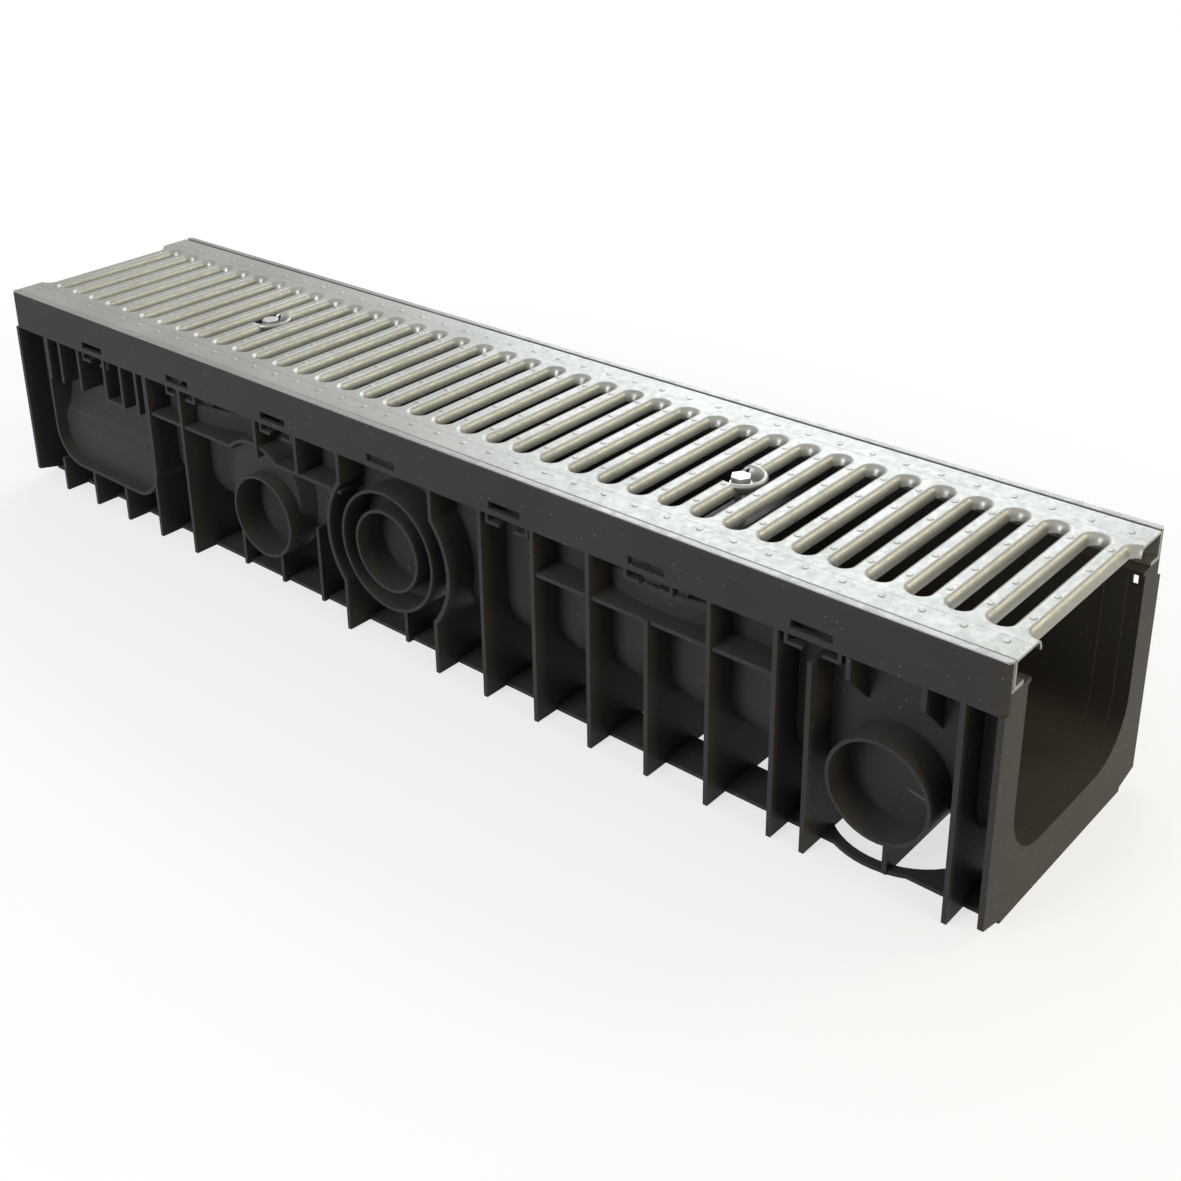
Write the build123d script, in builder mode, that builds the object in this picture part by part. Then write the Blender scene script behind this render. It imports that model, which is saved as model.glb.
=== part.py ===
from build123d import *
import math
import os

# Channel unit of moulded plastic with steel edge rails and a bolted slotted grating.
# Length runs along X, the visible ribbed side faces -Y, the unit stands on Z = 0.

# Overall size
length = 1000.0
width = 210.0
height = 190.0
half_length = length / 2
half_width = width / 2

# Trough
clear_half = 76.0
wall = 3.0
floor_level = 39.0
corner_radius = 38.0
socket_depth = 10.0
socket_step = 3.0
inner_socket_depth = 24.0
inner_socket_step = 1.4
socket_collar = socket_depth + wall

# Steel sheet sizes and the seat of the grating
rail_sheet = 1.5
grate_sheet = 2.0
grate_depth = 20.0
seat_level = height - grate_depth
ledge_top = seat_level - rail_sheet
ledge = 3.0
ledge_under = ledge_top - ledge

# Collar around the top of the body
band_bottom = 155.0
skirt = 4.0
lip = 5.0
collar_round = 6.0
lip_top = height - rail_sheet
window_length = 30.0
window_height = 6.0
window_pitch = length / 8
window_low = ledge_under - window_height
hook_spread = 19.0
hook_foot = 12.0
hook_drop = 9.0

# Ribs, base strips and end plates
rib_pitch = length / 20
rib = 3.5
end_plate = 4.0
base_half = 84.0
base_inner = 50.0
base = 3.0
short_reach = base_half + 5.0
plate_step = 3.0
plate_rise = 8.0
stringer_level = 122.0
stringer = 3.0
stringer_reach = half_width - 2.0
gusset_front = 138.0
gusset_back = 111.0

# Small slit in the trough wall behind each end plate
slit_length = 4.0
slit_height = 8.0
slit_x = half_length - end_plate - slit_length / 2
slit_level = ledge_under - 1.0 - slit_height / 2

# Side connection shaped like the end of the channel: a U ridge around a bulging panel
tee_x = -7.5 * rib_pitch
tee_half = 1.5 * rib_pitch + 4.0
tee_floor = 33.0
tee_radius = 34.0
ridge = 3.0
panel_reach = half_width - 10.0
panel_shoulder = clear_half + wall + 5.0
panel_top = 119.0
panel_bend = 78.0
panel_low = panel_bend - ridge
panel_bulge = 4.0
short_rib_end = 115.0

# Round pipe stubs on the visible side
stub_a_x = -3 * rib_pitch
stub_a_z = 68.0
stub_b_x = 0.0
stub_b_z = 87.0
stub_c_x = 8.5 * rib_pitch
stub_c_z = 70.0
small_stub = 36.0
large_stub = 50.0
inner_stub = 34.0
stub_wall = 2.4
bow_radius = 66.0
bow_rise = 42.0
hood_x = stub_a_x - 8.0
hood_rise = 11.0
hood_half = 30.0
hood_radius = (hood_half**2 + hood_rise**2) / (2 * hood_rise)
hood_level = stringer_level + hood_rise - hood_radius
hood_depth = 16.0
hood_slope = 25.0

# Ring under the stub next to the near end
ring_x = stub_c_x - 13.0
ring_y = -31.0
ring_inner = 52.0
ring_outer = 59.0

# Grating
slot_count = 37
slot_pitch = length / (slot_count + 1)
slot_half_width = 5.0
slot_half_length = 66.0
flare = 3.0
flare_depth = 7.0
grate_half = half_width - lip - rail_sheet - 0.5
return_width = 12.0
rail_seat_width = 14.0
rail_top_width = 5.0

# Fixing: bolt, washer, bar and nut
bolt_x = 9.5 * slot_pitch
bolt_radius = 3.9
bolt_end = 5.0
head_flats = 13.0
head_height = 5.3
nut_height = 6.5
nut_bore = 4.0
washer_radius = 8.0
washer_bore = 4.2
washer = 1.6
pocket_depth = 8.5
pocket_low = 12.5
pocket_high = 16.0
pocket_floor = height - pocket_depth
head_seat = pocket_floor + washer
bolt_hole = 4.5
bar_width = 30.0
bar_sheet = 5.0
bar_drop = 5.5
bar_top = ledge_under - bar_drop
bar_half = 80.0
bar_play = 1.0
bar_pocket = bar_half + bar_play - clear_half
bolt_length = head_seat - bar_top + bar_sheet + nut_height + bolt_end
pocket_wall = bar_half + bar_play + wall
bulge_half = 55.0
bulge_reach = 89.0
bulge_top = 137.0
bulge_slope = 3.0

flare_angle = math.degrees(math.atan(flare / flare_depth))

os.makedirs("parts", exist_ok=True)


def trough_outline(plane, half, low, high, radius):
    """Upright U outline: straight sides, flat floor, rounded lower corners."""
    with BuildSketch(plane) as outline:
        with Locations((0, (low + high) / 2)):
            Rectangle(2 * half, high - low)
        fillet(outline.vertices().group_by(Axis.Y)[0], radius)
    return outline.sketch


def block(x0, x1, y0, y1, z0, z1, mode=Mode.ADD):
    """Plain block between two corners."""
    with Locations(((x0 + x1) / 2, (y0 + y1) / 2, (z0 + z1) / 2)):
        Box(abs(x1 - x0), abs(y1 - y0), abs(z1 - z0), mode=mode)


def upright(x, low, high):
    """Rib drawn on edge in a side elevation."""
    with Locations((x, (low + high) / 2)):
        Rectangle(rib, high - low)


def bar_along(x0, x1, low, high):
    """Rectangle between two stations in a side elevation."""
    with Locations(((x0 + x1) / 2, (low + high) / 2)):
        Rectangle(x1 - x0, high - low)


def round_corners(low, high):
    """Rounds the four upright outer corners between two levels."""
    for end in (-1, 1):
        for side in (-1, 1):
            with BuildSketch(Plane.XY.offset(low)) as corner:
                with Locations((end * (half_length - collar_round / 2), side * (half_width - collar_round / 2))):
                    Rectangle(collar_round, collar_round)
                with Locations((end * (half_length - collar_round), side * (half_width - collar_round))):
                    Circle(collar_round, mode=Mode.SUBTRACT)
            extrude(corner.sketch, amount=high - low, mode=Mode.SUBTRACT)


def bulge_plan(x, side, level):
    """Shallow arc in plan that swells out of the trough wall."""
    root = side * (clear_half + wall / 2)
    start = (x - bulge_half, side * (clear_half + wall))
    stop = (x + bulge_half, side * (clear_half + wall))
    with BuildSketch(Plane.XY.offset(level)) as plan:
        with BuildLine():
            ThreePointArc(start, (x, side * bulge_reach), stop)
            Polyline(stop, (x + bulge_half, root), (x - bulge_half, root), start)
        make_face()
    return plan.sketch


def disc_on_front(discs, start, stop, mode=Mode.ADD):
    """Round pins or bores square to the visible side, between two distances from the middle."""
    with BuildSketch(Plane.XZ.offset(start)) as face:
        for x, z, radius in discs:
            with Locations((x, z)):
                Circle(radius)
    extrude(face.sketch, amount=stop - start, mode=mode)


# Channel body: one moulding
with BuildPart() as channel_body:
    # Trough wall, drawn solid here; the inside is cut near the end of this block
    shell = trough_outline(Plane.YZ, clear_half + wall, floor_level - wall, ledge_top, corner_radius + wall)
    extrude(shell, amount=half_length, both=True)

    # Thicker wall around the socket at both ends
    for end in (-1, 1):
        collar = trough_outline(
            Plane.YZ.offset(end * (half_length - socket_collar / 2)),
            clear_half + socket_step + wall,
            floor_level - socket_step - wall,
            ledge_top,
            corner_radius + socket_step + wall,
        )
        extrude(collar, amount=socket_collar / 2, both=True)

    # Ledge, skirt, lip and base strip along both sides, with a closed box around each bar pocket
    # and a swelling of the wall below it
    for side in (-1, 1):
        with BuildSketch(Plane.YZ):
            with BuildLine():
                Polyline(
                    (side * clear_half, ledge_under),
                    (side * (half_width - skirt), ledge_under),
                    (side * (half_width - skirt), band_bottom),
                    (side * half_width, band_bottom),
                    (side * half_width, lip_top),
                    (side * (half_width - lip), lip_top),
                    (side * (half_width - lip), ledge_top),
                    (side * clear_half, ledge_top),
                    close=True,
                )
            make_face()
            with Locations((side * (base_inner + base_half) / 2, base / 2)):
                Rectangle(base_half - base_inner, base)
        extrude(amount=half_length, both=True)
        for end in (-1, 1):
            reach = bar_width / 2 + bar_play + wall
            x = end * bolt_x
            block(x - reach, x + reach, side * clear_half, side * pocket_wall, bulge_top - bulge_slope, ledge_top)
            shoulder = bulge_top - bulge_slope
            extrude(bulge_plan(x, side, stringer_level - stringer), amount=shoulder - stringer_level + stringer)
            extrude(bulge_plan(x, side, shoulder), amount=bulge_slope, taper=45)

    # Round ring in the base strip under the stub next to the near end
    with BuildSketch(Plane.XY):
        with Locations((ring_x, ring_y)):
            Circle(ring_outer)
    extrude(amount=base)
    with BuildSketch(Plane.XY):
        with Locations((ring_x, ring_y)):
            Circle(ring_inner)
    extrude(amount=base, mode=Mode.SUBTRACT)

    # Plain ribs on the hidden side
    with BuildSketch(Plane.XZ):
        for index in range(-9, 10):
            upright(index * rib_pitch, 0, ledge_under)
    extrude(amount=-half_width)

    # Ribs and stringers of the visible side that reach out to the collar
    with BuildSketch(Plane.XZ):
        with Locations((stub_b_x, stub_b_z)):
            Circle(bow_radius + rib / 2)
            Circle(bow_radius - rib / 2, mode=Mode.SUBTRACT)
            Rectangle(2 * rib_pitch - rib, 3 * bow_radius, mode=Mode.SUBTRACT)
        for index in (-1, 1):
            upright(index * rib_pitch, 0, stub_b_z - bow_rise)
            upright(index * rib_pitch, stub_b_z + bow_rise, ledge_under)
        for index in (-6, -5, 2, 3, 4, 6, 7, 9.5):
            upright(index * rib_pitch, 0, ledge_under)
        for index in (-9, -8, -7):
            upright(index * rib_pitch, 0, tee_floor)
        for index in (-9, -8.6, -8, -7.2, -6.7, -6.25):
            upright(index * rib_pitch, short_rib_end, ledge_under)
        bar_along(-7.2 * rib_pitch, -6.7 * rib_pitch, short_rib_end, short_rib_end + stringer)
        for index in (-3, -2):
            upright(index * rib_pitch, stringer_level, ledge_under)
        upright(5 * rib_pitch, 0, stringer_level)
        upright(7.5 * rib_pitch, 0, band_bottom - 14)
    extrude(amount=half_width)

    # Stringers between the ribs; one of them arches over the stub beside the side connection
    with BuildSketch(Plane.XZ):
        with Locations((hood_x, hood_level)):
            Circle(hood_radius)
            Circle(hood_radius - stringer, mode=Mode.SUBTRACT)
        with Locations((hood_x, stringer_level - stringer - hood_radius)):
            Rectangle(2 * hood_radius, 2 * hood_radius, mode=Mode.SUBTRACT)
        for start, stop in (
            (-6 * rib_pitch, hood_x - hood_half + stringer),
            (hood_x + hood_half - stringer, -rib_pitch),
            (3 * rib_pitch, 7 * rib_pitch),
        ):
            bar_along(start, stop, stringer_level - stringer, stringer_level)
    extrude(amount=stringer_reach)

    # Triangular gussets under the collar beside the stub next to the near end
    for index in (8, 9):
        with BuildSketch(Plane.YZ.offset(index * rib_pitch)):
            with BuildLine():
                Polyline(
                    (-clear_half, ledge_under),
                    (-half_width + skirt / 2, ledge_under),
                    (-half_width + skirt / 2, gusset_front),
                    (-clear_half, gusset_back),
                    close=True,
                )
            make_face()
        extrude(amount=rib / 2, both=True)

    # Shorter ribs below the stubs
    with BuildSketch(Plane.XZ):
        for index in (-4, -3, 0):
            upright(index * rib_pitch, 0, stub_a_z - 22)
        upright(-2 * rib_pitch, 0, stub_a_z)
        upright(stub_c_x, 0, stub_c_z - small_stub + 4)
    extrude(amount=short_reach)

    # Side connection: U ridge, and the panel inside it with a sloping shoulder at its top
    with BuildSketch(Plane.XZ.offset(clear_half)) as tee:
        with Locations((tee_x, (tee_floor + ledge_under) / 2)):
            Rectangle(2 * tee_half, ledge_under - tee_floor)
        fillet(tee.vertices().group_by(Axis.Y)[0], tee_radius)
        offset(amount=-ridge, mode=Mode.SUBTRACT, kind=Kind.INTERSECTION)
        with Locations((tee_x, ledge_under)):
            Rectangle(2 * (tee_half - ridge), 4 * ridge, mode=Mode.SUBTRACT)
    extrude(amount=half_width - clear_half)
    with BuildSketch(Plane.XZ.offset(clear_half)) as panel:
        with Locations((tee_x, (tee_floor + panel_bend) / 2)):
            Rectangle(2 * tee_half - ridge, panel_bend - tee_floor - ridge)
        fillet(panel.vertices().group_by(Axis.Y)[0], tee_radius - ridge)
    extrude(amount=panel_reach - clear_half)
    with BuildSketch(Plane.YZ.offset(tee_x)):
        with BuildLine():
            SagittaArc((-panel_shoulder, panel_top), (-panel_reach, panel_low), panel_bulge)
            Polyline(
                (-panel_reach, panel_low),
                (-clear_half, panel_low),
                (-clear_half, panel_top),
                (-panel_shoulder, panel_top),
            )
        make_face()
    extrude(amount=tee_half - ridge / 2, both=True)

    # Swelling behind the stub beside the side connection, then the stubs: walls around blind bores
    with BuildSketch(Plane.XZ.offset(clear_half)):
        with Locations((hood_x, hood_level)):
            Circle(hood_radius + hood_depth * math.tan(math.radians(hood_slope)) - stringer)
    extrude(amount=hood_depth, taper=hood_slope)
    stubs = [(stub_a_x, stub_a_z, small_stub), (stub_b_x, stub_b_z, large_stub), (stub_c_x, stub_c_z, small_stub)]
    disc_on_front(stubs, clear_half, half_width)
    bores = [(x, z, radius - stub_wall) for x, z, radius in stubs]
    disc_on_front(bores, clear_half + wall, half_width, Mode.SUBTRACT)
    disc_on_front([(stub_b_x, stub_b_z, inner_stub)], clear_half, half_width)
    disc_on_front([(stub_b_x, stub_b_z, inner_stub - stub_wall)], clear_half + wall, half_width, Mode.SUBTRACT)

    # End plates: flat foot in the middle, rising a little towards both edges
    for end in (-1, 1):
        with BuildSketch(Plane.YZ.offset(end * (half_length - end_plate / 2))):
            with BuildLine():
                Polyline(
                    (-half_width, plate_rise),
                    (-base_half, plate_step),
                    (-base_half, 0),
                    (base_half, 0),
                    (base_half, plate_step),
                    (half_width, plate_rise),
                    (half_width, ledge_top),
                    (-half_width, ledge_top),
                    close=True,
                )
            make_face()
        extrude(amount=end_plate / 2, both=True)

    # Hooks below the collar, a pair at every window but the middle one
    with BuildSketch(Plane.XZ.offset(half_width - 8)):
        for index in (-3, -2, -1, 1, 2, 3):
            for hand in (-1, 1):
                tab_x = index * window_pitch + hand * hook_spread
                with Locations((tab_x, band_bottom - hook_drop / 2 + 1)):
                    Rectangle(2.5, hook_drop + 2)
                with Locations((tab_x - hand * hook_foot / 2, band_bottom - hook_drop + 1.25)):
                    Rectangle(hook_foot, 2.5)
    extrude(amount=6)

    # Inside of the trough, and the wider socket at both ends
    inside = trough_outline(Plane.YZ, clear_half, floor_level, height, corner_radius)
    extrude(inside, amount=half_length, both=True, mode=Mode.SUBTRACT)
    for depth, step in ((inner_socket_depth, inner_socket_step), (socket_depth, socket_step)):
        for end in (-1, 1):
            socket = trough_outline(
                Plane.YZ.offset(end * (half_length - depth / 2)),
                clear_half + step,
                floor_level - step,
                ledge_under,
                corner_radius + step,
            )
            extrude(socket, amount=depth / 2, both=True, mode=Mode.SUBTRACT)

    # Rounded corners of the collar
    round_corners(band_bottom, lip_top)

    # Windows in both skirts
    for side in (-1, 1):
        with BuildSketch(Plane.XZ.offset(side * (half_width - skirt))):
            for index in range(-3, 4):
                centre = index * window_pitch
                half = window_length / 2
                bar_along(centre - half, centre + half, window_low, window_low + window_height)
        extrude(amount=side * skirt, mode=Mode.SUBTRACT)

    # Pockets for the fixing bars, and a slit beside each end plate
    with Locations((0, 0, bar_top - bar_sheet / 2 - bar_play)):
        with GridLocations(2 * bolt_x, 2 * (bar_half - bar_pocket / 2 + bar_play), 2, 2):
            Box(bar_width + 2 * bar_play, bar_pocket, bar_sheet + 2 * bar_play, mode=Mode.SUBTRACT)
    with Locations((0, 0, slit_level)):
        with GridLocations(2 * slit_x, 2 * clear_half + wall, 2, 2):
            Box(slit_length, 3 * wall, slit_height, mode=Mode.SUBTRACT)

channel_body.part.label = "channel_body"
export_step(channel_body.part, "parts/channel_body.step")


def rail_section(side):
    """Z shaped section: strip over the lip, upright leg, flange under the grating."""
    inner = half_width - lip - rail_sheet
    with BuildSketch(Plane.YZ) as section:
        with BuildLine():
            Polyline(
                (side * (inner + rail_sheet), ledge_top),
                (side * (inner + rail_sheet), lip_top),
                (side * (inner + rail_top_width), lip_top),
                (side * (inner + rail_top_width), height),
                (side * inner, height),
                (side * inner, seat_level),
                (side * (inner + rail_sheet - rail_seat_width), seat_level),
                (side * (inner + rail_sheet - rail_seat_width), ledge_top),
                close=True,
            )
        make_face()
    return section.sketch


# Edge rails: folded galvanised sheet
with BuildPart() as edge_rail_front:
    extrude(rail_section(-1), amount=half_length, both=True)
    round_corners(ledge_top, height)
edge_rail_front.part.label = "edge_rail_front"
export_step(edge_rail_front.part, "parts/edge_rail_front.step")

with BuildPart() as edge_rail_back:
    extrude(rail_section(1), amount=half_length, both=True)
    round_corners(ledge_top, height)
edge_rail_back.part.label = "edge_rail_back"
export_step(edge_rail_back.part, "parts/edge_rail_back.step")


def slot_field(centres, grow, mode):
    """Drawn slots: narrow at the lower lip and flared towards the top of the sheet."""
    with BuildSketch(Plane.XY.offset(height - flare_depth)) as field:
        with Locations([(x, 0) for x in centres]):
            SlotOverall(2 * (slot_half_length + grow), 2 * (slot_half_width + grow), rotation=90)
    extrude(field.sketch, amount=flare_depth, taper=-flare_angle, mode=mode)


def dish(x, low, high, bottom, top, mode):
    """Round dish for a bolt head, wider at its top."""
    with Locations((x, 0, (low + high) / 2)):
        Cone(bottom, top, high - low, mode=mode)


# Grating: one stamped sheet with folded long edges
slot_centres = [(index - (slot_count + 1) / 2) * slot_pitch for index in range(slot_count + 2)]
with BuildPart() as grating:
    with BuildSketch(Plane.YZ):
        with BuildLine():
            Polyline(
                (-grate_half, seat_level),
                (-grate_half, height),
                (grate_half, height),
                (grate_half, seat_level),
                (grate_half - return_width, seat_level),
                (grate_half - return_width, seat_level + grate_sheet),
                (grate_half - grate_sheet, seat_level + grate_sheet),
                (grate_half - grate_sheet, height - grate_sheet),
                (-grate_half + grate_sheet, height - grate_sheet),
                (-grate_half + grate_sheet, seat_level + grate_sheet),
                (-grate_half + return_width, seat_level + grate_sheet),
                (-grate_half + return_width, seat_level),
                close=True,
            )
        make_face()
    extrude(amount=half_length, both=True)
    slot_field(slot_centres, grate_sheet * 0.75, Mode.ADD)
    slot_field(slot_centres, 0.0, Mode.SUBTRACT)

    # Round dishes for the two bolts, open towards the slot on their -X side
    for end in (-1, 1):
        dish(end * bolt_x, pocket_floor - grate_sheet, height, pocket_low, pocket_high + grate_sheet, Mode.ADD)
        dish(end * bolt_x, pocket_floor, height, pocket_low - grate_sheet, pocket_high, Mode.SUBTRACT)
        with Locations((end * bolt_x, 0, pocket_floor)):
            Cylinder(bolt_hole, 3 * grate_sheet, mode=Mode.SUBTRACT)
    slot_field([end * bolt_x - slot_pitch / 2 for end in (-1, 1)], 0.0, Mode.SUBTRACT)

    # The half slots at both ends are cut off flush
    for end in (-1, 1):
        block(end * half_length, end * (half_length + 30), -half_width, half_width, 0, height + 1, Mode.SUBTRACT)

grating.part.label = "grating"
export_step(grating.part, "parts/grating.step")


def fixing_bar(x):
    """Flat bar across the trough, held under the pockets in both walls."""
    block(x - bar_width / 2, x + bar_width / 2, -bar_half, bar_half, bar_top - bar_sheet, bar_top)
    with Locations((x, 0, bar_top - bar_sheet / 2)):
        Cylinder(bolt_hole, bar_sheet, mode=Mode.SUBTRACT)


def hex_prism(x, low, high):
    """Upright hexagon with the flats of the fasteners."""
    with BuildSketch(Plane.XY.offset(low)) as hexagon:
        with Locations((x, 0)):
            RegularPolygon(head_flats / 2, 6, major_radius=False)
    extrude(hexagon.sketch, amount=high - low)


def fixing_bolt(x):
    """Hexagon head screw standing on its washer."""
    hex_prism(x, head_seat, head_seat + head_height)
    with Locations((x, 0, head_seat - bolt_length / 2)):
        Cylinder(bolt_radius, bolt_length)


def fixing_washer(x):
    """Flat washer on the floor of the dish."""
    with Locations((x, 0, pocket_floor + washer / 2)):
        Cylinder(washer_radius, washer)
        Cylinder(washer_bore, washer, mode=Mode.SUBTRACT)


def fixing_nut(x):
    """Hexagon nut fixed under the bar."""
    hex_prism(x, bar_top - bar_sheet - nut_height, bar_top - bar_sheet)
    with Locations((x, 0, bar_top - bar_sheet - nut_height / 2)):
        Cylinder(nut_bore, nut_height, mode=Mode.SUBTRACT)


# Fixing bars
with BuildPart() as fixing_bar_near:
    fixing_bar(bolt_x)
fixing_bar_near.part.label = "fixing_bar_near"
export_step(fixing_bar_near.part, "parts/fixing_bar_near.step")

with BuildPart() as fixing_bar_far:
    fixing_bar(-bolt_x)
fixing_bar_far.part.label = "fixing_bar_far"
export_step(fixing_bar_far.part, "parts/fixing_bar_far.step")

# Bolts
with BuildPart() as fixing_bolt_near:
    fixing_bolt(bolt_x)
fixing_bolt_near.part.label = "fixing_bolt_near"
export_step(fixing_bolt_near.part, "parts/fixing_bolt_near.step")

with BuildPart() as fixing_bolt_far:
    fixing_bolt(-bolt_x)
fixing_bolt_far.part.label = "fixing_bolt_far"
export_step(fixing_bolt_far.part, "parts/fixing_bolt_far.step")

# Washers
with BuildPart() as fixing_washer_near:
    fixing_washer(bolt_x)
fixing_washer_near.part.label = "fixing_washer_near"
export_step(fixing_washer_near.part, "parts/fixing_washer_near.step")

with BuildPart() as fixing_washer_far:
    fixing_washer(-bolt_x)
fixing_washer_far.part.label = "fixing_washer_far"
export_step(fixing_washer_far.part, "parts/fixing_washer_far.step")

# Nuts
with BuildPart() as fixing_nut_near:
    fixing_nut(bolt_x)
fixing_nut_near.part.label = "fixing_nut_near"
export_step(fixing_nut_near.part, "parts/fixing_nut_near.step")

with BuildPart() as fixing_nut_far:
    fixing_nut(-bolt_x)
fixing_nut_far.part.label = "fixing_nut_far"
export_step(fixing_nut_far.part, "parts/fixing_nut_far.step")
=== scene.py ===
import math

import bmesh
import bpy
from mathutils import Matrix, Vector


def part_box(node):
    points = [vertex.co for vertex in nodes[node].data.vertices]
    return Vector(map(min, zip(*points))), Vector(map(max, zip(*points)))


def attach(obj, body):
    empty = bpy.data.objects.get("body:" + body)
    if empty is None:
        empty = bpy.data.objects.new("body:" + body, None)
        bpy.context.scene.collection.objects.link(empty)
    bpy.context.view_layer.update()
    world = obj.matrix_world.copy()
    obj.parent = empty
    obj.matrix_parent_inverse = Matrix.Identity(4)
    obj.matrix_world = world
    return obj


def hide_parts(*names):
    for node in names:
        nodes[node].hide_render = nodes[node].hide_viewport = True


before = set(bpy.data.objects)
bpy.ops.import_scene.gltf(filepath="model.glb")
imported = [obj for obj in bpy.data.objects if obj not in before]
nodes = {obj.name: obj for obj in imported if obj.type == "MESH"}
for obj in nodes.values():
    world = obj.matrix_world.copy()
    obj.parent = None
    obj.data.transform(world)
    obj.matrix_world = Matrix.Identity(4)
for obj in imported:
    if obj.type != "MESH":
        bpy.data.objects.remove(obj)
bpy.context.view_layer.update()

# The view: from above the near end of the channel and its ribbed side, with the
# near end on the right. The shift places the long unit in a square picture.
camera_data = bpy.data.cameras.new("camera")
camera_data.sensor_width = 36.0
camera_data.lens = 49.25
camera_data.shift_x = 0.0671
camera_data.shift_y = -0.1714
camera_data.clip_start = 0.05
camera = bpy.data.objects.new("camera", camera_data)
camera.location = (0.8172, -0.8287, 0.6733)
camera.rotation_euler = (math.radians(67.2939), math.radians(1.7296), math.radians(42.5346))
bpy.context.scene.collection.objects.link(camera)
bpy.context.scene.camera = camera

# Channel body: one black polypropylene moulding. Its ribs, collar, stubs and end
# plates come from one mould, so every edge has the small radius of a moulded part.
moulding_radius = 0.0006
edge_steps = 2
edge_angle = math.radians(35)
smooth_angle = math.radians(40)
flat_angle = math.radians(0.5)
merge_distance = 0.00001


def level_shading(piece, angle):
    """Smooth shading up to an angle, with the large faces beside rounded edges kept flat."""
    bpy.ops.object.shade_smooth_by_angle(angle=angle)
    level = piece.modifiers.new("level", "WEIGHTED_NORMAL")
    level.keep_sharp = True
    level.weight = 100
    bpy.ops.object.modifier_apply(modifier="level")


def finished_copy(node, name, radius, shape=None):
    """A copy of a solid with clean faces, its own shaping if it has any, and rounded edges."""
    bpy.ops.object.select_all(action="DESELECT")
    source = nodes[node]
    source.select_set(True)
    bpy.context.view_layer.objects.active = source
    bpy.ops.object.duplicate()
    copy = bpy.context.view_layer.objects.active
    copy.parent = None
    for key in list(copy.keys()):
        del copy[key]
    copy.name = name
    copy.data.name = name
    copy.data.materials.clear()
    bpy.ops.object.mode_set(mode="EDIT")
    bpy.ops.mesh.select_all(action="SELECT")
    bpy.ops.mesh.remove_doubles(threshold=merge_distance)
    bpy.ops.mesh.dissolve_limited(angle_limit=flat_angle)
    if shape:
        shape(copy)
    bpy.ops.object.mode_set(mode="OBJECT")
    bevel = copy.modifiers.new("edge", "BEVEL")
    bevel.width = radius
    bevel.segments = edge_steps
    bevel.limit_method = "ANGLE"
    bevel.angle_limit = edge_angle
    bpy.ops.object.modifier_apply(modifier="edge")
    level_shading(copy, smooth_angle)
    return copy


# the arched side panel: the level of its turn, how far out the ledge above it and the
# upright part below it stand, where the panel ends, and the radius of the soft turn
turn_level = 0.0765
ledge_reach = 0.0940
turn_reach = 0.0950
turn_end = -0.29
turn_radius = 0.0055
turn_steps = 5
ledge_slack = 0.0005
turn_slack = 0.0002
shortest_turn = 0.002


def soft_turn(piece):
    """The arched side panel turns softly from its slope into its upright part."""
    mesh = bmesh.from_edit_mesh(piece.data)
    bpy.ops.mesh.select_mode(type="VERT")
    bpy.ops.mesh.select_all(action="DESELECT")
    for vertex in mesh.verts:
        on_level = abs(vertex.co.z - turn_level) < turn_slack and vertex.co.x < turn_end
        vertex.select = on_level and abs(vertex.co.y + ledge_reach) < ledge_slack
    bmesh.update_edit_mesh(piece.data)
    bpy.ops.transform.resize(value=(1, 0, 1), center_override=(0, -turn_reach, turn_level))
    bpy.ops.mesh.select_all(action="SELECT")
    bpy.ops.mesh.remove_doubles(threshold=merge_distance)
    bpy.ops.mesh.select_mode(type="EDGE")
    bpy.ops.mesh.select_all(action="DESELECT")
    mesh = bmesh.from_edit_mesh(piece.data)
    for edge in mesh.edges:
        on_turn = all(
            abs(vertex.co.z - turn_level) < turn_slack
            and abs(vertex.co.y + turn_reach) < turn_slack
            and vertex.co.x < turn_end
            for vertex in edge.verts
        )
        edge.select = on_turn and edge.calc_length() > shortest_turn
    bmesh.update_edit_mesh(piece.data)
    bpy.ops.mesh.bevel(offset=turn_radius, segments=turn_steps, affect="EDGES")
    bpy.ops.mesh.select_mode(type="VERT")


moulding = finished_copy("channel_body", "moulding", moulding_radius, soft_turn)
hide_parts("channel_body")
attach(moulding, "root")


def add_math(tree, operation, value=None):
    """A sum in a material, with its second term if that is a fixed one."""
    node = tree.nodes.new("ShaderNodeMath")
    node.operation = operation
    if value is not None:
        node.inputs[1].default_value = value
    return node


def add_range(tree, low, high, at_low=0.0, at_high=1.0):
    """What goes in between low and high comes out between at_low and at_high."""
    node = tree.nodes.new("ShaderNodeMapRange")
    node.inputs["From Min"].default_value = low
    node.inputs["From Max"].default_value = high
    node.inputs["To Min"].default_value = at_low
    node.inputs["To Max"].default_value = at_high
    return node


def add_blend(tree, colour, under=None):
    """A colour laid over another one by a factor."""
    node = tree.nodes.new("ShaderNodeMix")
    node.data_type = "RGBA"
    node.inputs["B"].default_value = colour
    if under is not None:
        node.inputs["A"].default_value = under
    return node


def add_bump(tree, strength, distance):
    """Small relief of a surface."""
    node = tree.nodes.new("ShaderNodeBump")
    node.inputs["Strength"].default_value = strength
    node.inputs["Distance"].default_value = distance
    return node


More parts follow.
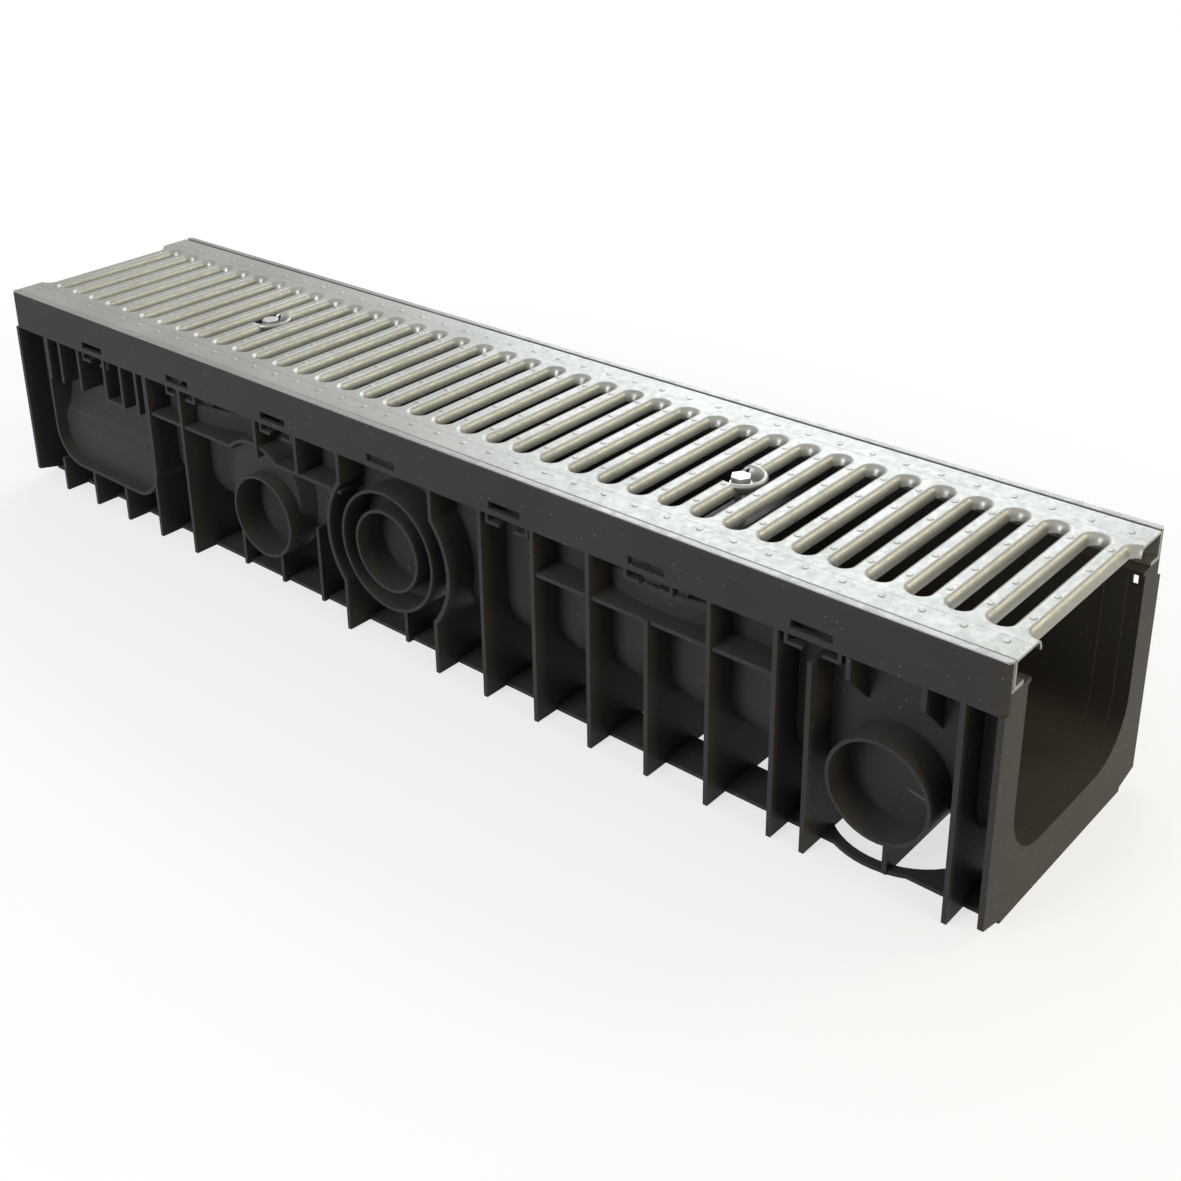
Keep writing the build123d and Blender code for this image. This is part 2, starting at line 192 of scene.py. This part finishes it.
def surface_noise_group():
    """Uneven tone of a surface: broad cloud, fine grain and thin marks."""
    group = bpy.data.node_groups.new("uneven_surface", "ShaderNodeTree")
    for name, default in (("Cloud Scale", 6.0), ("Grain Scale", 400.0), ("Mark Scale", 40.0)):
        socket = group.interface.new_socket(name, in_out="INPUT", socket_type="NodeSocketFloat")
        socket.default_value = default
    for name in ("Cloud", "Grain", "Marks"):
        group.interface.new_socket(name, in_out="OUTPUT", socket_type="NodeSocketFloat")
    start = group.nodes.new("NodeGroupInput")
    end = group.nodes.new("NodeGroupOutput")
    place = group.nodes.new("ShaderNodeTexCoord")
    cloud = group.nodes.new("ShaderNodeTexNoise")
    cloud.inputs["Detail"].default_value = 4.0
    grain = group.nodes.new("ShaderNodeTexNoise")
    grain.inputs["Detail"].default_value = 2.0
    stretch = group.nodes.new("ShaderNodeMapping")
    stretch.inputs["Scale"].default_value = (1.0, 1.0, 9.0)
    stretch.inputs["Rotation"].default_value = (0.5, 0.9, 0.3)
    marks = group.nodes.new("ShaderNodeTexNoise")
    marks.inputs["Detail"].default_value = 5.0
    marks.inputs["Roughness"].default_value = 0.7
    band = add_range(group, low=0.62, high=0.78)
    link = group.links.new
    link(place.outputs["Object"], cloud.inputs["Vector"])
    link(place.outputs["Object"], grain.inputs["Vector"])
    link(place.outputs["Object"], stretch.inputs["Vector"])
    link(stretch.outputs["Vector"], marks.inputs["Vector"])
    link(start.outputs["Cloud Scale"], cloud.inputs["Scale"])
    link(start.outputs["Grain Scale"], grain.inputs["Scale"])
    link(start.outputs["Mark Scale"], marks.inputs["Scale"])
    link(marks.outputs["Fac"], band.inputs["Value"])
    link(cloud.outputs["Fac"], end.inputs["Cloud"])
    link(grain.outputs["Fac"], end.inputs["Grain"])
    link(band.outputs["Result"], end.inputs["Marks"])
    return group


uneven_surface = surface_noise_group()


def add_uneven(tree, cloud_scale, grain_scale, mark_scale):
    """The uneven surface in a material, with scales of its own."""
    node = tree.nodes.new("ShaderNodeGroup")
    node.node_tree = uneven_surface
    node.inputs["Cloud Scale"].default_value = cloud_scale
    node.inputs["Grain Scale"].default_value = grain_scale
    node.inputs["Mark Scale"].default_value = mark_scale
    return node


plastic_dark = (0.0240, 0.0235, 0.0235, 1.0)
plastic_light = (0.0375, 0.0368, 0.0362, 1.0)
# the pale colour of dust, also laid on faces that point up as painted light from above
dust_and_light_colour = (0.085, 0.082, 0.074, 1.0)
dust_on_marks = 0.45
top_dust_and_light = 0.55
speck_colour = (0.26, 0.26, 0.25, 1.0)
speck_scale = 260.0

plastic = bpy.data.materials.new("black_plastic")
plastic.use_nodes = True
tree = plastic.node_tree
link = tree.links.new
shader = tree.nodes["Principled BSDF"]
shader.inputs["Metallic"].default_value = 0.0
shader.inputs["IOR"].default_value = 1.49
shader.inputs["Specular IOR Level"].default_value = 0.06
uneven = add_uneven(tree, cloud_scale=9.0, grain_scale=900.0, mark_scale=45.0)
place = tree.nodes.new("ShaderNodeTexCoord")
tone = add_blend(tree, plastic_light, plastic_dark)
link(uneven.outputs["Cloud"], tone.inputs["Factor"])
sheen = add_range(tree, low=0.0, high=1.0, at_low=0.34, at_high=0.52)
link(uneven.outputs["Cloud"], sheen.inputs["Value"])
link(sheen.outputs["Result"], shader.inputs["Roughness"])
grain_bump = add_bump(tree, strength=0.12, distance=0.0004)
link(uneven.outputs["Grain"], grain_bump.inputs["Height"])
link(grain_bump.outputs["Normal"], shader.inputs["Normal"])

# dust along the marks; on all that faces up the paler colour is partly dust and partly painted light
# from above
facing = tree.nodes.new("ShaderNodeNewGeometry")
upward = tree.nodes.new("ShaderNodeSeparateXYZ")
upward_share_of_dust_and_light = add_range(tree, low=0.35, high=0.95, at_low=0.0, at_high=top_dust_and_light)
dust_and_top_light_amount = add_math(tree, "MULTIPLY_ADD", dust_on_marks)
dust_and_top_light_mix = add_blend(tree, dust_and_light_colour)
link(facing.outputs["Normal"], upward.inputs["Vector"])
link(upward.outputs["Z"], upward_share_of_dust_and_light.inputs["Value"])
link(uneven.outputs["Marks"], dust_and_top_light_amount.inputs[0])
link(upward_share_of_dust_and_light.outputs["Result"], dust_and_top_light_amount.inputs[2])
link(dust_and_top_light_amount.outputs["Value"], dust_and_top_light_mix.inputs["Factor"])
link(tone.outputs["Result"], dust_and_top_light_mix.inputs["A"])

# pale specks, in a few of the cells of a fine pattern
cells = tree.nodes.new("ShaderNodeTexVoronoi")
cells.inputs["Scale"].default_value = speck_scale
cell_number = tree.nodes.new("ShaderNodeSeparateColor")
speck_size = add_range(tree, low=0.07, high=0.13, at_low=0.8, at_high=0.0)
speck_choice = add_range(tree, low=0.72, high=0.98)
speck_mask = add_math(tree, "MULTIPLY")
specked = add_blend(tree, speck_colour)
link(place.outputs["Object"], cells.inputs["Vector"])
link(cells.outputs["Distance"], speck_size.inputs["Value"])
link(cells.outputs["Color"], cell_number.inputs["Color"])
link(cell_number.outputs["Red"], speck_choice.inputs["Value"])
link(speck_size.outputs["Result"], speck_mask.inputs[0])
link(speck_choice.outputs["Result"], speck_mask.inputs[1])
link(speck_mask.outputs["Value"], specked.inputs["Factor"])
link(dust_and_top_light_mix.outputs["Result"], specked.inputs["A"])

# a short pale scuff on the closed bottom of the stub nearest the near end: its
# middle, its half length, its half width, and how far it drops along its length
scuff_colour = (0.20, 0.20, 0.20, 1.0)
scuff_x = 0.440
scuff_level = 0.060
scuff_half = 0.009
scuff_thin = 0.0009
scuff_drop = 0.22
stub_bottom = -0.086
front_half = -0.05
axes = tree.nodes.new("ShaderNodeSeparateXYZ")
along = add_math(tree, "SUBTRACT", scuff_x)
above = add_math(tree, "SUBTRACT", scuff_level)
slanted = add_math(tree, "MULTIPLY_ADD", scuff_drop)
off_scuff = add_math(tree, "ABSOLUTE")
far_along = add_math(tree, "ABSOLUTE")
thin = add_range(tree, low=scuff_thin / 3, high=scuff_thin, at_low=1.0, at_high=0.0)
short = add_range(tree, low=scuff_half / 2, high=scuff_half, at_low=0.8, at_high=0.0)
inside_stub = add_range(tree, low=stub_bottom - 0.004, high=stub_bottom)
front_side = add_math(tree, "LESS_THAN", front_half)
link(place.outputs["Object"], axes.inputs["Vector"])
link(axes.outputs["X"], along.inputs[0])
link(axes.outputs["Z"], above.inputs[0])
link(along.outputs["Value"], slanted.inputs[0])
link(above.outputs["Value"], slanted.inputs[2])
link(slanted.outputs["Value"], off_scuff.inputs[0])
link(along.outputs["Value"], far_along.inputs[0])
link(off_scuff.outputs["Value"], thin.inputs["Value"])
link(far_along.outputs["Value"], short.inputs["Value"])
link(axes.outputs["Y"], inside_stub.inputs["Value"])
link(axes.outputs["Y"], front_side.inputs[0])
scuff = thin.outputs["Result"]
for mask in (
    short.outputs["Result"],
    inside_stub.outputs["Result"],
    front_side.outputs["Value"],
    uneven.outputs["Grain"],
):
    both = add_math(tree, "MULTIPLY")
    link(scuff, both.inputs[0])
    link(mask, both.inputs[1])
    scuff = both.outputs["Value"]
scuffed = add_blend(tree, scuff_colour)
link(scuff, scuffed.inputs["Factor"])
link(specked.outputs["Result"], scuffed.inputs["A"])
link(scuffed.outputs["Result"], shader.inputs["Base Color"])
moulding.data.materials.append(plastic)

# Edge rails: 1.5 mm galvanised sheet folded to a Z, pushed into the collar along
# each side. The top strip covers the lip and the lower flange carries the grating.
rail_radius = 0.0004
rail_front = finished_copy("edge_rail_front", "rail_front", rail_radius)
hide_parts("edge_rail_front")
rail_back = finished_copy("edge_rail_back", "rail_back", rail_radius)
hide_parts("edge_rail_back")

stain_colour = (0.17, 0.165, 0.13, 1.0)
stain_share = 0.5
cloud_share = 0.95
spangle_share = 0.18


def galvanised(name, dark, light, spangle_size):
    """Zinc coated sheet: faint crystal pattern, smears and small dull spots."""
    material = bpy.data.materials.new(name)
    material.use_nodes = True
    tree = material.node_tree
    link = tree.links.new
    shader = tree.nodes["Principled BSDF"]
    shader.inputs["Metallic"].default_value = 0.85
    uneven = add_uneven(tree, cloud_scale=14.0, grain_scale=260.0, mark_scale=30.0)
    place = tree.nodes.new("ShaderNodeTexCoord")
    crystals = tree.nodes.new("ShaderNodeTexVoronoi")
    crystals.inputs["Scale"].default_value = 1.0 / spangle_size
    crystal_tone = tree.nodes.new("ShaderNodeSeparateColor")
    clouded = add_math(tree, "MULTIPLY", cloud_share)
    spangled = add_math(tree, "MULTIPLY_ADD", spangle_share)
    tone = add_blend(tree, light, dark)
    stain_amount = add_math(tree, "MULTIPLY", stain_share)
    stained = add_blend(tree, stain_colour)
    rough = add_range(tree, low=0.0, high=1.0, at_low=0.38, at_high=0.47)
    bump = add_bump(tree, strength=0.15, distance=0.0003)
    link(place.outputs["Object"], crystals.inputs["Vector"])
    link(crystals.outputs["Color"], crystal_tone.inputs["Color"])
    link(uneven.outputs["Cloud"], clouded.inputs[0])
    link(crystal_tone.outputs["Red"], spangled.inputs[0])
    link(clouded.outputs["Value"], spangled.inputs[2])
    link(spangled.outputs["Value"], tone.inputs["Factor"])
    link(uneven.outputs["Marks"], stain_amount.inputs[0])
    link(stain_amount.outputs["Value"], stained.inputs["Factor"])
    link(tone.outputs["Result"], stained.inputs["A"])
    link(stained.outputs["Result"], shader.inputs["Base Color"])
    link(crystal_tone.outputs["Green"], rough.inputs["Value"])
    link(rough.outputs["Result"], shader.inputs["Roughness"])
    link(uneven.outputs["Grain"], bump.inputs["Height"])
    link(bump.outputs["Normal"], shader.inputs["Normal"])
    return material


rail_dark = (0.20, 0.20, 0.185, 1.0)
rail_light = (0.33, 0.33, 0.31, 1.0)
rail_zinc = galvanised("rail_zinc", rail_dark, rail_light, spangle_size=0.006)
for rail in (rail_front, rail_back):
    rail.data.materials.append(rail_zinc)
    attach(rail, "root")

# Grating: one stamped galvanised sheet. Each slot is drawn down into a smooth rolled
# rim, both long edges are folded down and in, and small studs are pressed up.
slot_count = 38
stud_height = 0.0005
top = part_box("grating")[1][2] - stud_height
grate_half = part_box("grating")[1][1]
unit_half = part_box("grating")[1][0]
slot_pitch = 2 * unit_half / slot_count
sheet_thickness = 0.0018
arc_centre = 0.061
rim_points = 40
lip_half = 0.0053
lip_depth = 0.0072
fold_radius = 0.002
fold_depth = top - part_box("grating")[0][2]
border_half = grate_half - fold_radius
seam_distance = 0.00002
grate_angle = math.radians(35)

bpy.ops.object.select_all(action="DESELECT")
bpy.ops.mesh.primitive_circle_add(
    vertices=rim_points,
    radius=lip_half,
    fill_type="NOTHING",
    location=(0, 0, 0),
    rotation=(0, 0, math.radians(180 / rim_points)),
)
bpy.ops.object.transform_apply(location=True, rotation=True, scale=True)
grate = bpy.context.object
grate.name = "grate"
grate.data.name = "grate"


def pick(piece, test, among=None):
    """Selects the vertices that pass the test, and gives back their numbers."""
    mesh = bmesh.from_edit_mesh(piece.data)
    mesh.verts.index_update()
    bpy.ops.mesh.select_all(action="DESELECT")
    chosen = set()
    for vertex in mesh.verts:
        if (among is None or vertex.index in among) and test(vertex.co):
            vertex.select = True
            chosen.add(vertex.index)
    mesh.select_flush(True)
    bmesh.update_edit_mesh(piece.data)
    return chosen


def picked(piece):
    """The numbers of the selected vertices."""
    mesh = bmesh.from_edit_mesh(piece.data)
    mesh.verts.index_update()
    return {vertex.index for vertex in mesh.verts if vertex.select}


bpy.ops.object.mode_set(mode="EDIT")
bpy.ops.mesh.select_mode(type="VERT")
for end in (1, -1):
    pick(grate, lambda point: point.y * end > 0)
    bpy.ops.transform.translate(value=(0, end * arc_centre, top - lip_depth))

# the rim's section from its lower lip to the flat top: reach from the slot's middle, depth
width_now = lip_half
depth_now = lip_depth
pick(grate, lambda point: True)
for rim_width, rim_depth in (
    (0.0056, 0.0056),
    (0.0061, 0.0040),
    (0.0067, 0.0026),
    (0.0075, 0.0015),
    (0.0085, 0.0007),
    (0.0095, 0.0002),
    (0.0103, 0.0),
    (0.0107, 0.0),
):
    bpy.ops.mesh.extrude_edges_move(TRANSFORM_OT_translate={"value": (0, 0, depth_now - rim_depth)})
    ring = picked(grate)
    for end in (1, -1):
        pick(grate, lambda point: point.y * end > 0, ring)
        bpy.ops.transform.resize(
            value=(rim_width / width_now, rim_width / width_now, 1),
            center_override=(0, end * arc_centre, top - rim_depth),
        )
    pick(grate, lambda point: True, ring)
    width_now = rim_width
    depth_now = rim_depth

# the flat sheet: the outermost loop drawn out to a rectangle one pitch wide. The point
# of the loop between 36 and 45 degrees goes both ways, and becomes the corner
bpy.ops.mesh.extrude_edges_move(TRANSFORM_OT_translate={"value": (0, 0, 0)})
ring = picked(grate)
corner_low = width_now * math.sin(math.radians(36))
corner_high = width_now * math.sin(math.radians(45))
sides = [
    pick(grate, lambda point: point.x * hand > 0 and abs(point.y) - arc_centre < corner_high, ring)
    for hand in (1, -1)
]
ends = [pick(grate, lambda point: point.y * end - arc_centre > corner_low, ring) for end in (1, -1)]
for hand, side in zip((1, -1), sides):
    pick(grate, lambda point: True, side)
    bpy.ops.transform.resize(value=(0, 1, 1), center_override=(hand * slot_pitch / 2, 0, top))
for end, group in zip((1, -1), ends):
    pick(grate, lambda point: True, group)
    bpy.ops.transform.resize(value=(1, 0, 1), center_override=(0, end * border_half, top))

# the long edges, folded down and in: how far each step goes outwards, and its rise
for end in (1, -1):
    pick(grate, lambda point: abs(point.y - end * border_half) < 1e-6)
    for step_y, step_z in (
        (0.0010, -0.0003),
        (0.0007, -0.0007),
        (0.0003, -0.0010),
        (0.0, 2 * fold_radius - fold_depth),
        (-0.0003, -0.0010),
        (-0.0007, -0.0007),
        (-0.0010, -0.0003),
        (-0.0100, 0.0),
    ):
        bpy.ops.mesh.extrude_edges_move(TRANSFORM_OT_translate={"value": (0, end * step_y, step_z)})
bpy.ops.mesh.select_all(action="SELECT")
bpy.ops.mesh.normals_make_consistent(inside=False)
bpy.ops.object.mode_set(mode="OBJECT")
top_faces = [face for face in grate.data.polygons if face.center.z > top - 1e-5]
if sum(face.normal.z * face.area for face in top_faces) < 0:
    grate.data.flip_normals()

# the row of slots, cut off at both ends of the unit, and given its thickness
row = grate.modifiers.new("row", "ARRAY")
row.use_relative_offset = False
row.use_constant_offset = True
row.constant_offset_displace = (slot_pitch, 0, 0)
row.count = slot_count + 1
row.use_merge_vertices = True
row.merge_threshold = seam_distance
bpy.ops.object.modifier_apply(modifier="row")
bpy.ops.object.mode_set(mode="EDIT")
bpy.ops.mesh.select_all(action="SELECT")
bpy.ops.transform.translate(value=(-unit_half, 0, 0))
for end in (1, -1):
    bpy.ops.mesh.select_all(action="SELECT")
    bpy.ops.mesh.bisect(plane_co=(end * unit_half, 0, 0), plane_no=(end, 0, 0), clear_outer=True)
bpy.ops.object.mode_set(mode="OBJECT")
sheet = grate.modifiers.new("sheet", "SOLIDIFY")
sheet.thickness = sheet_thickness
sheet.offset = -1.0
bpy.ops.object.modifier_apply(modifier="sheet")


def turned_piece(section, centre, back):
    """A solid turned from a section of radius and level, cut off behind a plane if back is given."""
    bpy.ops.object.select_all(action="DESELECT")
    bpy.ops.mesh.primitive_circle_add(
        vertices=64, radius=section[0][0], fill_type="NGON", location=(centre, 0, section[0][1])
    )
    piece = bpy.context.object
    bpy.ops.object.transform_apply(location=True, rotation=True, scale=True)
    bpy.ops.object.mode_set(mode="EDIT")
    bpy.ops.mesh.select_all(action="SELECT")
    for (radius, level), (radius_next, level_next) in zip(section, section[1:]):
        growth = radius_next / radius
        bpy.ops.mesh.extrude_region_move(TRANSFORM_OT_translate={"value": (0, 0, level_next - level)})
        bpy.ops.transform.resize(value=(growth, growth, 1), center_override=(centre, 0, level_next))
    if back is not None:
        bpy.ops.mesh.select_all(action="SELECT")
        bpy.ops.mesh.bisect(
            plane_co=(centre - back, 0, 0), plane_no=(1, 0, 0), use_fill=True, clear_inner=True
        )
    bpy.ops.mesh.select_all(action="SELECT")
    bpy.ops.mesh.normals_make_consistent(inside=False)
    bpy.ops.object.mode_set(mode="OBJECT")
    return piece


def joined(pieces):
    """The pieces as one object, with its place in its mesh."""
    bpy.ops.object.select_all(action="DESELECT")
    for piece in pieces:
        piece.select_set(True)
    bpy.context.view_layer.objects.active = pieces[0]
    bpy.ops.object.join()
    bpy.ops.object.transform_apply(location=True, rotation=True, scale=True)
    return bpy.context.object


# round dishes for the bolts, each turned from a section of radius and level: its outside
# is joined to the sheet, open towards the slot behind it, and then the hollow is cut out
dish_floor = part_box("fixing_washer_near")[0][2]
bolt_x = 9.5 * slot_pitch
ring_back = 0.0024
cup_back = 0.0072
outside = (
    (0.0118, dish_floor - sheet_thickness),
    (0.0150, dish_floor - 0.0010),
    (0.0172, top - 0.0072),
    (0.0180, top - 0.0050),
    (0.0186, top - 0.0030),
    (0.0186, top - 0.0016),
    (0.0181, top - 0.0007),
    (0.0170, top - 0.0001),
)
cup = (
    (0.0118, dish_floor - sheet_thickness),
    (0.0150, dish_floor - 0.0010),
    (0.0156, dish_floor + 0.0010),
)
hollow = (
    (0.0100, dish_floor),
    (0.0118, dish_floor + 0.0003),
    (0.0140, top - 0.0024),
    (0.0149, top - 0.0011),
    (0.0157, top - 0.0004),
    (0.0166, top + 0.0001),
    (0.0174, top + 0.0006),
)
for operation, section, back in (
    ("UNION", outside, ring_back),
    ("UNION", cup, cup_back),
    ("DIFFERENCE", hollow, None),
):
    dishes = joined([turned_piece(section, end * bolt_x, back) for end in (-1, 1)])
    cut = grate.modifiers.new("dish", "BOOLEAN")
    cut.operation = operation
    cut.solver = "EXACT"
    cut.object = dishes
    bpy.context.view_layer.objects.active = grate
    bpy.ops.object.modifier_apply(modifier="dish")
    bpy.data.objects.remove(dishes)

# a stud, pressed up from the sheet, and its copies on the bars and both borders
stud_radius = 0.0026
stud_rows = (-0.083, -0.051, -0.020, 0.021, 0.053, 0.083)
bpy.ops.object.select_all(action="DESELECT")
bpy.ops.mesh.primitive_circle_add(
    vertices=12, radius=stud_radius, fill_type="NGON", location=(0, 0, top - 0.0001)
)
bpy.ops.object.transform_apply(location=True, rotation=True, scale=True)
stud = bpy.context.object
bpy.ops.object.mode_set(mode="EDIT")
bpy.ops.mesh.select_all(action="SELECT")
for shrink, rise in ((0.80, 0.00035), (0.60, 0.00020)):
    bpy.ops.mesh.extrude_region_move(TRANSFORM_OT_translate={"value": (0, 0, rise)})
    bpy.ops.transform.resize(value=(shrink, shrink, 1), center_override=(0, 0, top))
bpy.ops.object.mode_set(mode="OBJECT")
studs = []
for index in range(slot_count):
    for y in stud_rows:
        copy = stud.copy()
        copy.data = stud.data.copy()
        bpy.context.scene.collection.objects.link(copy)
        copy.location = ((index - (slot_count - 1) / 2) * slot_pitch, y, 0)
        studs.append(copy)
bpy.data.objects.remove(stud)
joined(studs)
grate.select_set(True)
bpy.context.view_layer.objects.active = grate
bpy.ops.object.join()
level_shading(grate, grate_angle)
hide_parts("grating")
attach(grate, "root")

# the sheet's zinc, with painted shade of a pressed line: a thin dark line along each border
line_reach = 0.0775
groove_shade_colour = (0.12, 0.12, 0.11, 1.0)
grate_dark = (0.25, 0.248, 0.222, 1.0)
grate_light = (0.385, 0.382, 0.350, 1.0)
grate_zinc = galvanised("grate_zinc", grate_dark, grate_light, spangle_size=0.0036)
tree = grate_zinc.node_tree
link = tree.links.new
shader = tree.nodes["Principled BSDF"]
plain_tone = shader.inputs["Base Color"].links[0].from_socket
place = tree.nodes.new("ShaderNodeTexCoord")
axes = tree.nodes.new("ShaderNodeSeparateXYZ")
across = add_math(tree, "ABSOLUTE")
past_line = add_math(tree, "SUBTRACT", line_reach)
off_line = add_math(tree, "ABSOLUTE")
groove_shade_mask = add_range(tree, low=0.0002, high=0.0006, at_low=0.45, at_high=0.0)
groove_shaded = add_blend(tree, groove_shade_colour)
link(place.outputs["Object"], axes.inputs["Vector"])
link(axes.outputs["Y"], across.inputs[0])
link(across.outputs["Value"], past_line.inputs[0])
link(past_line.outputs["Value"], off_line.inputs[0])
link(off_line.outputs["Value"], groove_shade_mask.inputs["Value"])
link(groove_shade_mask.outputs["Result"], groove_shaded.inputs["Factor"])
link(plain_tone, groove_shaded.inputs["A"])
link(groove_shaded.outputs["Result"], shader.inputs["Base Color"])
grate.data.materials.append(grate_zinc)

# Fixings: zinc plated hexagon bolts on flat washers, with a flat steel bar across
# the trough and a nut under it at each of the two places.
# the bar's zinc is darker than the bolts': painted shade, as the bar lies in shade under the grating
shaded_bar_dark = (0.10, 0.098, 0.090, 1.0)
shaded_bar_light = (0.17, 0.165, 0.150, 1.0)
bolt_dark = (0.42, 0.43, 0.44, 1.0)
bolt_light = (0.56, 0.57, 0.58, 1.0)
shaded_bar_zinc = galvanised("shaded_bar_zinc", shaded_bar_dark, shaded_bar_light, spangle_size=0.004)
fastener_zinc = galvanised("fastener_zinc", bolt_dark, bolt_light, spangle_size=0.004)
for kind, radius, zinc in (
    ("bolt", 0.0006, fastener_zinc),
    ("washer", 0.0002, fastener_zinc),
    ("nut", 0.0004, fastener_zinc),
    ("bar", 0.0004, shaded_bar_zinc),
):
    for end in ("near", "far"):
        node = f"fixing_{kind}_{end}"
        fixing = finished_copy(node, f"{kind}_{end}", radius)
        fixing.data.materials.append(zinc)
        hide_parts(node)
        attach(fixing, "root")

# Studio: a white floor that keeps a soft shadow near the channel, a white surround
# where it is seen directly, and soft lamps at the back, the ribbed side and the near end.
floor_size = 14
floor_level = -0.0005
bpy.ops.object.select_all(action="DESELECT")
bpy.ops.mesh.primitive_plane_add(size=floor_size, location=(0, 0, floor_level))
floor = bpy.context.object
floor.name = "floor"


def seen_rays(tree):
    """One where it is seen directly, in a reflection or through another surface, else nought."""
    rays = tree.nodes.new("ShaderNodeLightPath")
    seen = add_math(tree, "MAXIMUM")
    seen_all = add_math(tree, "MAXIMUM")
    tree.links.new(rays.outputs["Is Camera Ray"], seen.inputs[0])
    tree.links.new(rays.outputs["Is Glossy Ray"], seen.inputs[1])
    tree.links.new(seen.outputs["Value"], seen_all.inputs[0])
    tree.links.new(rays.outputs["Is Transmission Ray"], seen_all.inputs[1])
    return seen_all.outputs["Value"]


paper_lit = (0.82, 0.80, 0.76, 1.0)
paper_seen = (0.93, 0.93, 0.93, 1.0)
paper = bpy.data.materials.new("paper")
paper.use_nodes = True
tree = paper.node_tree
link = tree.links.new
shader = tree.nodes["Principled BSDF"]
shader.inputs["Roughness"].default_value = 0.9
shader.inputs["Specular IOR Level"].default_value = 0.0
seen = seen_rays(tree)
floor_tone = add_blend(tree, paper_seen, paper_lit)
place = tree.nodes.new("ShaderNodeTexCoord")
oval = tree.nodes.new("ShaderNodeMapping")
oval.inputs["Scale"].default_value = (0.9, 1.5, 1.0)
round_fade = tree.nodes.new("ShaderNodeTexGradient")
round_fade.gradient_type = "SPHERICAL"
fade = add_range(tree, low=0.02, high=0.55, at_low=1.0, at_high=0.70)
whiteness = add_math(tree, "MULTIPLY")
glow = tree.nodes.new("ShaderNodeEmission")
glow.inputs["Strength"].default_value = 1.0
choose = tree.nodes.new("ShaderNodeMixShader")
link(seen, floor_tone.inputs["Factor"])
link(floor_tone.outputs["Result"], shader.inputs["Base Color"])
link(place.outputs["Object"], oval.inputs["Vector"])
link(oval.outputs["Vector"], round_fade.inputs["Vector"])
link(round_fade.outputs["Fac"], fade.inputs["Value"])
link(fade.outputs["Result"], whiteness.inputs[0])
link(seen, whiteness.inputs[1])
link(whiteness.outputs["Value"], choose.inputs["Fac"])
link(shader.outputs["BSDF"], choose.inputs[1])
link(glow.outputs["Emission"], choose.inputs[2])
link(choose.outputs["Shader"], tree.nodes["Material Output"].inputs["Surface"])
floor.data.materials.append(paper)

world = bpy.data.worlds.new("world")
bpy.context.scene.world = world
world.use_nodes = True
tree = world.node_tree
link = tree.links.new
background = tree.nodes["Background"]
background.inputs["Strength"].default_value = 1.0
place = tree.nodes.new("ShaderNodeTexCoord")
height = tree.nodes.new("ShaderNodeSeparateXYZ")
sky = tree.nodes.new("ShaderNodeValToRGB")
sky.color_ramp.elements[0].position = 0.0
sky.color_ramp.elements[0].color = (0.40, 0.42, 0.44, 1.0)
sky.color_ramp.elements[1].position = 0.50
sky.color_ramp.elements[1].color = (0.42, 0.45, 0.48, 1.0)
plain = tree.nodes.new("ShaderNodeBackground")
plain.inputs["Color"].default_value = (1.0, 1.0, 1.0, 1.0)
plain.inputs["Strength"].default_value = 1.0
choose = tree.nodes.new("ShaderNodeMixShader")
link(place.outputs["Generated"], height.inputs["Vector"])
link(height.outputs["Z"], sky.inputs["Fac"])
link(sky.outputs["Color"], background.inputs["Color"])
link(seen_rays(tree), choose.inputs["Fac"])
link(background.outputs["Background"], choose.inputs[1])
link(plain.outputs["Background"], choose.inputs[2])
link(choose.outputs["Shader"], tree.nodes["World Output"].inputs["Surface"])


def soft_lamp(name, place, aim, size, power, colour):
    """Square soft lamp that faces a point."""
    data = bpy.data.lights.new(name, "AREA")
    data.shape = "SQUARE"
    data.size = size
    data.energy = power
    data.color = colour
    lamp = bpy.data.objects.new(name, data)
    bpy.context.scene.collection.objects.link(lamp)
    lamp.location = place
    direction = [b - a for a, b in zip(place, aim)]
    flat = math.hypot(direction[0], direction[1])
    lamp.rotation_euler = (math.atan2(flat, -direction[2]), 0, math.atan2(-direction[0], direction[1]))
    return lamp


daylight = (0.84, 0.92, 1.0)
yellowish = (1.0, 0.93, 0.58)
cool_white = (0.94, 0.96, 1.0)
blue_white = (0.90, 0.94, 1.0)
amber = (1.0, 0.68, 0.26)
middle = (0.0, 0.0, 0.1)
near_half = (0.3, 0.0, 0.1)
soft_lamp("window", (-0.95, 2.1, 1.5), near_half, size=1.6, power=28.5, colour=daylight)
soft_lamp("back", (1.7, 1.9, 1.7), (0.1, 0.0, 0.1), size=0.8, power=13.0, colour=yellowish)
soft_lamp("side", (-0.5, -2.6, 1.2), middle, size=1.4, power=30.0, colour=cool_white)
soft_lamp("low", (-0.4, -2.6, 0.45), middle, size=0.8, power=26.0, colour=blue_white)
warm = soft_lamp("warm", (2.4, -0.2, 0.6), near_half, size=1.0, power=34.0, colour=amber)
warm.visible_glossy = False

bpy.context.scene.view_settings.view_transform = "Standard"
